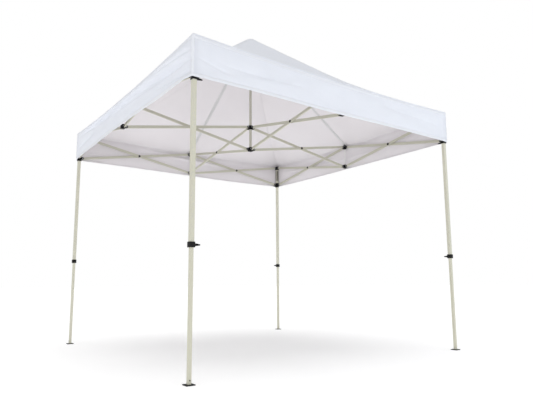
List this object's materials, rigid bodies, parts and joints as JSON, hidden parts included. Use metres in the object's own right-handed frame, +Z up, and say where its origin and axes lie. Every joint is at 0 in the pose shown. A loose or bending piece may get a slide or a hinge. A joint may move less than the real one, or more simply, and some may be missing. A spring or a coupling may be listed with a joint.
{
  "type": "pop up canopy",
  "caption": "Square pop-up canopy: scissor-truss folding frame on telescopic legs with foot plates, centre mast and a white peaked fabric cover with a valance.",
  "frame": {"origin": "on the ground, midway between the four legs", "axes": "+Z up; X and Y run along the two pairs of sides, so the legs stand at +-1.45 m in X and Y"},
  "size_m": [2.966, 2.966, 3.42],
  "materials": {
    "cover_fabric": "white coated polyester, plain weave, matt",
    "frame_paint": "cream powder coat, satin",
    "black_plastic": "black moulded nylon, fine texture",
    "mast_paint": "cream powder coat, satin"
  },
  "bodies": {
    "root": {"canopy_cover": "cover_fabric", "upper_hub": "black_plastic"},
    "lower_hub": {"lower_hub": "black_plastic"},
    "mast": {"mast": "mast_paint"},
    "cross_bar_east_high": {"cross_bar_east_high": "frame_paint"},
    "cross_bar_east_low": {"cross_bar_east_low": "frame_paint"},
    "side_bracket_upper_east": {"side_bracket_upper_east": "black_plastic"},
    "side_bracket_lower_east": {"side_bracket_lower_east": "black_plastic"},
    "side_bar_east_ne_high": {"side_bar_east_ne_high": "frame_paint"},
    "side_bar_east_ne_low": {"side_bar_east_ne_low": "frame_paint"},
    "leg_ne": {"outer_leg_ne": "frame_paint", "leg_fittings_ne": "black_plastic"},
    "slider_ne": {"slider_ne": "black_plastic"},
    "side_bar_east_se_high": {"side_bar_east_se_high": "frame_paint"},
    "side_bar_east_se_low": {"side_bar_east_se_low": "frame_paint"},
    "cross_bar_north_high": {"cross_bar_north_high": "frame_paint"},
    "cross_bar_north_low": {"cross_bar_north_low": "frame_paint"},
    "side_bracket_upper_north": {"side_bracket_upper_north": "black_plastic"},
    "side_bracket_lower_north": {"side_bracket_lower_north": "black_plastic"},
    "side_bar_north_nw_high": {"side_bar_north_nw_high": "frame_paint"},
    "side_bar_north_nw_low": {"side_bar_north_nw_low": "frame_paint"},
    "leg_nw": {"outer_leg_nw": "frame_paint", "leg_fittings_nw": "black_plastic"},
    "slider_nw": {"slider_nw": "black_plastic"},
    "side_bar_north_ne_high": {"side_bar_north_ne_high": "frame_paint"},
    "side_bar_north_ne_low": {"side_bar_north_ne_low": "frame_paint"},
    "cross_bar_west_high": {"cross_bar_west_high": "frame_paint"},
    "cross_bar_west_low": {"cross_bar_west_low": "frame_paint"},
    "side_bracket_upper_west": {"side_bracket_upper_west": "black_plastic"},
    "side_bracket_lower_west": {"side_bracket_lower_west": "black_plastic"},
    "side_bar_west_sw_high": {"side_bar_west_sw_high": "frame_paint"},
    "side_bar_west_sw_low": {"side_bar_west_sw_low": "frame_paint"},
    "leg_sw": {"outer_leg_sw": "frame_paint", "leg_fittings_sw": "black_plastic"},
    "slider_sw": {"slider_sw": "black_plastic"},
    "side_bar_west_nw_high": {"side_bar_west_nw_high": "frame_paint"},
    "side_bar_west_nw_low": {"side_bar_west_nw_low": "frame_paint"},
    "cross_bar_south_high": {"cross_bar_south_high": "frame_paint"},
    "cross_bar_south_low": {"cross_bar_south_low": "frame_paint"},
    "side_bracket_upper_south": {"side_bracket_upper_south": "black_plastic"},
    "side_bracket_lower_south": {"side_bracket_lower_south": "black_plastic"},
    "side_bar_south_se_high": {"side_bar_south_se_high": "frame_paint"},
    "side_bar_south_se_low": {"side_bar_south_se_low": "frame_paint"},
    "leg_se": {"outer_leg_se": "frame_paint", "leg_fittings_se": "black_plastic"},
    "slider_se": {"slider_se": "black_plastic"},
    "side_bar_south_sw_high": {"side_bar_south_sw_high": "frame_paint"},
    "side_bar_south_sw_low": {"side_bar_south_sw_low": "frame_paint"},
    "inner_leg_ne": {"inner_leg_ne": "frame_paint"},
    "leg_pin_ne": {"leg_pin_ne": "black_plastic"},
    "slider_pin_ne": {"slider_pin_ne": "black_plastic"},
    "inner_leg_nw": {"inner_leg_nw": "frame_paint"},
    "leg_pin_nw": {"leg_pin_nw": "black_plastic"},
    "slider_pin_nw": {"slider_pin_nw": "black_plastic"},
    "inner_leg_sw": {"inner_leg_sw": "frame_paint"},
    "leg_pin_sw": {"leg_pin_sw": "black_plastic"},
    "slider_pin_sw": {"slider_pin_sw": "black_plastic"},
    "inner_leg_se": {"inner_leg_se": "frame_paint"},
    "leg_pin_se": {"leg_pin_se": "black_plastic"},
    "slider_pin_se": {"slider_pin_se": "black_plastic"}
  },
  "joints": [
    {"name": "fold", "type": "hinge", "parent": "root", "child": "cross_bar_east_high", "pos_m": [0.038, 0.0075, 2.375], "axis": [0, 1, 0], "range_deg": [0, 75]},
    {"name": "cross_bar_east_low_hinge", "type": "hinge", "parent": "cross_bar_east_high", "child": "cross_bar_east_low", "pos_m": [0.728, 0.0075, 2.25], "axis": [0, 1, 0], "range_deg": [-150, 0]},
    {"name": "side_bracket_upper_east_hinge", "type": "hinge", "parent": "cross_bar_east_low", "child": "side_bracket_upper_east", "pos_m": [1.418, -0.0075, 2.375], "axis": [0, 1, 0], "range_deg": [0, 75]},
    {"name": "side_bracket_lower_east_hinge", "type": "hinge", "parent": "cross_bar_east_high", "child": "side_bracket_lower_east", "pos_m": [1.418, 0.0075, 2.125], "axis": [0, 1, 0], "range_deg": [-75, 0]},
    {"name": "lower_hub_hinge", "type": "hinge", "parent": "cross_bar_east_low", "child": "lower_hub", "pos_m": [0.038, -0.0075, 2.125], "axis": [0, 1, 0], "range_deg": [0, 75]},
    {"name": "side_bar_east_ne_high_hinge", "type": "hinge", "parent": "side_bracket_upper_east", "child": "side_bar_east_ne_high", "pos_m": [1.4575, 0.032, 2.375], "axis": [-1, 0, 0], "range_deg": [0, 75]},
    {"name": "side_bar_east_ne_low_hinge", "type": "hinge", "parent": "side_bar_east_ne_high", "child": "side_bar_east_ne_low", "pos_m": [1.4575, 0.722, 2.25], "axis": [-1, 0, 0], "range_deg": [-150, 0]},
    {"name": "leg_ne_hinge", "type": "hinge", "parent": "side_bar_east_ne_low", "child": "leg_ne", "pos_m": [1.4425, 1.412, 2.375], "axis": [-1, 0, 0], "range_deg": [0, 75]},
    {"name": "slider_ne_hinge", "type": "hinge", "parent": "side_bar_east_ne_high", "child": "slider_ne", "pos_m": [1.4575, 1.412, 2.125], "axis": [-1, 0, 0], "range_deg": [-75, 0]},
    {"name": "side_bar_east_se_high_hinge", "type": "hinge", "parent": "side_bracket_upper_east", "child": "side_bar_east_se_high", "pos_m": [1.4575, -0.032, 2.375], "axis": [1, 0, 0], "range_deg": [0, 75]},
    {"name": "side_bar_east_se_low_hinge", "type": "hinge", "parent": "side_bar_east_se_high", "child": "side_bar_east_se_low", "pos_m": [1.4575, -0.722, 2.25], "axis": [1, 0, 0], "range_deg": [-150, 0]},
    {"name": "cross_bar_north_high_hinge", "type": "hinge", "parent": "root", "child": "cross_bar_north_high", "pos_m": [-0.0075, 0.038, 2.375], "axis": [-1, 0, 0], "range_deg": [0, 75]},
    {"name": "cross_bar_north_low_hinge", "type": "hinge", "parent": "cross_bar_north_high", "child": "cross_bar_north_low", "pos_m": [-0.0075, 0.728, 2.25], "axis": [-1, 0, 0], "range_deg": [-150, 0]},
    {"name": "side_bracket_upper_north_hinge", "type": "hinge", "parent": "cross_bar_north_low", "child": "side_bracket_upper_north", "pos_m": [0.0075, 1.418, 2.375], "axis": [-1, 0, 0], "range_deg": [0, 75]},
    {"name": "side_bracket_lower_north_hinge", "type": "hinge", "parent": "cross_bar_north_high", "child": "side_bracket_lower_north", "pos_m": [-0.0075, 1.418, 2.125], "axis": [-1, 0, 0], "range_deg": [-75, 0]},
    {"name": "side_bar_north_nw_high_hinge", "type": "hinge", "parent": "side_bracket_upper_north", "child": "side_bar_north_nw_high", "pos_m": [-0.032, 1.4575, 2.375], "axis": [0, -1, 0], "range_deg": [0, 75]},
    {"name": "side_bar_north_nw_low_hinge", "type": "hinge", "parent": "side_bar_north_nw_high", "child": "side_bar_north_nw_low", "pos_m": [-0.722, 1.4575, 2.25], "axis": [0, -1, 0], "range_deg": [-150, 0]},
    {"name": "leg_nw_hinge", "type": "hinge", "parent": "side_bar_north_nw_low", "child": "leg_nw", "pos_m": [-1.412, 1.4425, 2.375], "axis": [0, -1, 0], "range_deg": [0, 75]},
    {"name": "slider_nw_hinge", "type": "hinge", "parent": "side_bar_north_nw_high", "child": "slider_nw", "pos_m": [-1.412, 1.4575, 2.125], "axis": [0, -1, 0], "range_deg": [-75, 0]},
    {"name": "side_bar_north_ne_high_hinge", "type": "hinge", "parent": "side_bracket_upper_north", "child": "side_bar_north_ne_high", "pos_m": [0.032, 1.4575, 2.375], "axis": [0, 1, 0], "range_deg": [0, 75]},
    {"name": "side_bar_north_ne_low_hinge", "type": "hinge", "parent": "side_bar_north_ne_high", "child": "side_bar_north_ne_low", "pos_m": [0.722, 1.4575, 2.25], "axis": [0, 1, 0], "range_deg": [-150, 0]},
    {"name": "cross_bar_west_high_hinge", "type": "hinge", "parent": "root", "child": "cross_bar_west_high", "pos_m": [-0.038, -0.0075, 2.375], "axis": [0, -1, 0], "range_deg": [0, 75]},
    {"name": "cross_bar_west_low_hinge", "type": "hinge", "parent": "cross_bar_west_high", "child": "cross_bar_west_low", "pos_m": [-0.728, -0.0075, 2.25], "axis": [0, -1, 0], "range_deg": [-150, 0]},
    {"name": "side_bracket_upper_west_hinge", "type": "hinge", "parent": "cross_bar_west_low", "child": "side_bracket_upper_west", "pos_m": [-1.418, 0.0075, 2.375], "axis": [0, -1, 0], "range_deg": [0, 75]},
    {"name": "side_bracket_lower_west_hinge", "type": "hinge", "parent": "cross_bar_west_high", "child": "side_bracket_lower_west", "pos_m": [-1.418, -0.0075, 2.125], "axis": [0, -1, 0], "range_deg": [-75, 0]},
    {"name": "side_bar_west_sw_high_hinge", "type": "hinge", "parent": "side_bracket_upper_west", "child": "side_bar_west_sw_high", "pos_m": [-1.4575, -0.032, 2.375], "axis": [1, 0, 0], "range_deg": [0, 75]},
    {"name": "side_bar_west_sw_low_hinge", "type": "hinge", "parent": "side_bar_west_sw_high", "child": "side_bar_west_sw_low", "pos_m": [-1.4575, -0.722, 2.25], "axis": [1, 0, 0], "range_deg": [-150, 0]},
    {"name": "leg_sw_hinge", "type": "hinge", "parent": "side_bar_west_sw_low", "child": "leg_sw", "pos_m": [-1.4425, -1.412, 2.375], "axis": [1, 0, 0], "range_deg": [0, 75]},
    {"name": "slider_sw_hinge", "type": "hinge", "parent": "side_bar_west_sw_high", "child": "slider_sw", "pos_m": [-1.4575, -1.412, 2.125], "axis": [1, 0, 0], "range_deg": [-75, 0]},
    {"name": "side_bar_west_nw_high_hinge", "type": "hinge", "parent": "side_bracket_upper_west", "child": "side_bar_west_nw_high", "pos_m": [-1.4575, 0.032, 2.375], "axis": [-1, 0, 0], "range_deg": [0, 75]},
    {"name": "side_bar_west_nw_low_hinge", "type": "hinge", "parent": "side_bar_west_nw_high", "child": "side_bar_west_nw_low", "pos_m": [-1.4575, 0.722, 2.25], "axis": [-1, 0, 0], "range_deg": [-150, 0]},
    {"name": "cross_bar_south_high_hinge", "type": "hinge", "parent": "root", "child": "cross_bar_south_high", "pos_m": [0.0075, -0.038, 2.375], "axis": [1, 0, 0], "range_deg": [0, 75]},
    {"name": "cross_bar_south_low_hinge", "type": "hinge", "parent": "cross_bar_south_high", "child": "cross_bar_south_low", "pos_m": [0.0075, -0.728, 2.25], "axis": [1, 0, 0], "range_deg": [-150, 0]},
    {"name": "side_bracket_upper_south_hinge", "type": "hinge", "parent": "cross_bar_south_low", "child": "side_bracket_upper_south", "pos_m": [-0.0075, -1.418, 2.375], "axis": [1, 0, 0], "range_deg": [0, 75]},
    {"name": "side_bracket_lower_south_hinge", "type": "hinge", "parent": "cross_bar_south_high", "child": "side_bracket_lower_south", "pos_m": [0.0075, -1.418, 2.125], "axis": [1, 0, 0], "range_deg": [-75, 0]},
    {"name": "side_bar_south_se_high_hinge", "type": "hinge", "parent": "side_bracket_upper_south", "child": "side_bar_south_se_high", "pos_m": [0.032, -1.4575, 2.375], "axis": [0, 1, 0], "range_deg": [0, 75]},
    {"name": "side_bar_south_se_low_hinge", "type": "hinge", "parent": "side_bar_south_se_high", "child": "side_bar_south_se_low", "pos_m": [0.722, -1.4575, 2.25], "axis": [0, 1, 0], "range_deg": [-150, 0]},
    {"name": "leg_se_hinge", "type": "hinge", "parent": "side_bar_south_se_low", "child": "leg_se", "pos_m": [1.412, -1.4425, 2.375], "axis": [0, 1, 0], "range_deg": [0, 75]},
    {"name": "slider_se_hinge", "type": "hinge", "parent": "side_bar_south_se_high", "child": "slider_se", "pos_m": [1.412, -1.4575, 2.125], "axis": [0, 1, 0], "range_deg": [-75, 0]},
    {"name": "side_bar_south_sw_high_hinge", "type": "hinge", "parent": "side_bracket_upper_south", "child": "side_bar_south_sw_high", "pos_m": [-0.032, -1.4575, 2.375], "axis": [0, -1, 0], "range_deg": [0, 75]},
    {"name": "side_bar_south_sw_low_hinge", "type": "hinge", "parent": "side_bar_south_sw_high", "child": "side_bar_south_sw_low", "pos_m": [-0.722, -1.4575, 2.25], "axis": [0, -1, 0], "range_deg": [-150, 0]},
    {"name": "leg_height_ne", "type": "slide", "parent": "leg_ne", "child": "inner_leg_ne", "axis": [0, 0, 1], "range_m": [0, 0.8]},
    {"name": "leg_pin_pull_ne", "type": "slide", "parent": "leg_ne", "child": "leg_pin_ne", "axis": [-1, 0, 0], "range_m": [0, 0.008], "stiffness_N_per_m": 1500, "springref_m": -0.004},
    {"name": "slider_pin_pull_ne", "type": "slide", "parent": "slider_ne", "child": "slider_pin_ne", "axis": [-1, 0, 0], "range_m": [0, 0.008], "stiffness_N_per_m": 1500, "springref_m": -0.004},
    {"name": "leg_height_nw", "type": "slide", "parent": "leg_nw", "child": "inner_leg_nw", "axis": [0, 0, 1], "range_m": [0, 0.8]},
    {"name": "leg_pin_pull_nw", "type": "slide", "parent": "leg_nw", "child": "leg_pin_nw", "axis": [0, -1, 0], "range_m": [0, 0.008], "stiffness_N_per_m": 1500, "springref_m": -0.004},
    {"name": "slider_pin_pull_nw", "type": "slide", "parent": "slider_nw", "child": "slider_pin_nw", "axis": [0, -1, 0], "range_m": [0, 0.008], "stiffness_N_per_m": 1500, "springref_m": -0.004},
    {"name": "leg_height_sw", "type": "slide", "parent": "leg_sw", "child": "inner_leg_sw", "axis": [0, 0, 1], "range_m": [0, 0.8]},
    {"name": "leg_pin_pull_sw", "type": "slide", "parent": "leg_sw", "child": "leg_pin_sw", "axis": [1, 0, 0], "range_m": [0, 0.008], "stiffness_N_per_m": 1500, "springref_m": -0.004},
    {"name": "slider_pin_pull_sw", "type": "slide", "parent": "slider_sw", "child": "slider_pin_sw", "axis": [1, 0, 0], "range_m": [0, 0.008], "stiffness_N_per_m": 1500, "springref_m": -0.004},
    {"name": "leg_height_se", "type": "slide", "parent": "leg_se", "child": "inner_leg_se", "axis": [0, 0, 1], "range_m": [0, 0.8]},
    {"name": "leg_pin_pull_se", "type": "slide", "parent": "leg_se", "child": "leg_pin_se", "axis": [0, 1, 0], "range_m": [0, 0.008], "stiffness_N_per_m": 1500, "springref_m": -0.004},
    {"name": "slider_pin_pull_se", "type": "slide", "parent": "slider_se", "child": "slider_pin_se", "axis": [0, 1, 0], "range_m": [0, 0.008], "stiffness_N_per_m": 1500, "springref_m": -0.004},
    {"name": "mast_drop", "type": "slide", "parent": "root", "child": "mast", "axis": [0, 0, -1], "range_m": [0, 0.9505]}
  ],
  "couplings": [
    {"joint": "cross_bar_east_low_hinge", "follows": "fold", "ratio": -2},
    {"joint": "side_bracket_upper_east_hinge", "follows": "fold", "ratio": 1},
    {"joint": "side_bracket_lower_east_hinge", "follows": "fold", "ratio": -1},
    {"joint": "lower_hub_hinge", "follows": "fold", "ratio": 1},
    {"joint": "side_bar_east_ne_high_hinge", "follows": "fold", "ratio": 1},
    {"joint": "side_bar_east_ne_low_hinge", "follows": "fold", "ratio": -2},
    {"joint": "leg_ne_hinge", "follows": "fold", "ratio": 1},
    {"joint": "slider_ne_hinge", "follows": "fold", "ratio": -1},
    {"joint": "side_bar_east_se_high_hinge", "follows": "fold", "ratio": 1},
    {"joint": "side_bar_east_se_low_hinge", "follows": "fold", "ratio": -2},
    {"joint": "cross_bar_north_high_hinge", "follows": "fold", "ratio": 1},
    {"joint": "cross_bar_north_low_hinge", "follows": "fold", "ratio": -2},
    {"joint": "side_bracket_upper_north_hinge", "follows": "fold", "ratio": 1},
    {"joint": "side_bracket_lower_north_hinge", "follows": "fold", "ratio": -1},
    {"joint": "side_bar_north_nw_high_hinge", "follows": "fold", "ratio": 1},
    {"joint": "side_bar_north_nw_low_hinge", "follows": "fold", "ratio": -2},
    {"joint": "leg_nw_hinge", "follows": "fold", "ratio": 1},
    {"joint": "slider_nw_hinge", "follows": "fold", "ratio": -1},
    {"joint": "side_bar_north_ne_high_hinge", "follows": "fold", "ratio": 1},
    {"joint": "side_bar_north_ne_low_hinge", "follows": "fold", "ratio": -2},
    {"joint": "cross_bar_west_high_hinge", "follows": "fold", "ratio": 1},
    {"joint": "cross_bar_west_low_hinge", "follows": "fold", "ratio": -2},
    {"joint": "side_bracket_upper_west_hinge", "follows": "fold", "ratio": 1},
    {"joint": "side_bracket_lower_west_hinge", "follows": "fold", "ratio": -1},
    {"joint": "side_bar_west_sw_high_hinge", "follows": "fold", "ratio": 1},
    {"joint": "side_bar_west_sw_low_hinge", "follows": "fold", "ratio": -2},
    {"joint": "leg_sw_hinge", "follows": "fold", "ratio": 1},
    {"joint": "slider_sw_hinge", "follows": "fold", "ratio": -1},
    {"joint": "side_bar_west_nw_high_hinge", "follows": "fold", "ratio": 1},
    {"joint": "side_bar_west_nw_low_hinge", "follows": "fold", "ratio": -2},
    {"joint": "cross_bar_south_high_hinge", "follows": "fold", "ratio": 1},
    {"joint": "cross_bar_south_low_hinge", "follows": "fold", "ratio": -2},
    {"joint": "side_bracket_upper_south_hinge", "follows": "fold", "ratio": 1},
    {"joint": "side_bracket_lower_south_hinge", "follows": "fold", "ratio": -1},
    {"joint": "side_bar_south_se_high_hinge", "follows": "fold", "ratio": 1},
    {"joint": "side_bar_south_se_low_hinge", "follows": "fold", "ratio": -2},
    {"joint": "leg_se_hinge", "follows": "fold", "ratio": 1},
    {"joint": "slider_se_hinge", "follows": "fold", "ratio": -1},
    {"joint": "side_bar_south_sw_high_hinge", "follows": "fold", "ratio": 1},
    {"joint": "side_bar_south_sw_low_hinge", "follows": "fold", "ratio": -2},
    {"joint": "mast_drop", "follows": "fold", "m_per_rad": 0.72575}
  ]
}
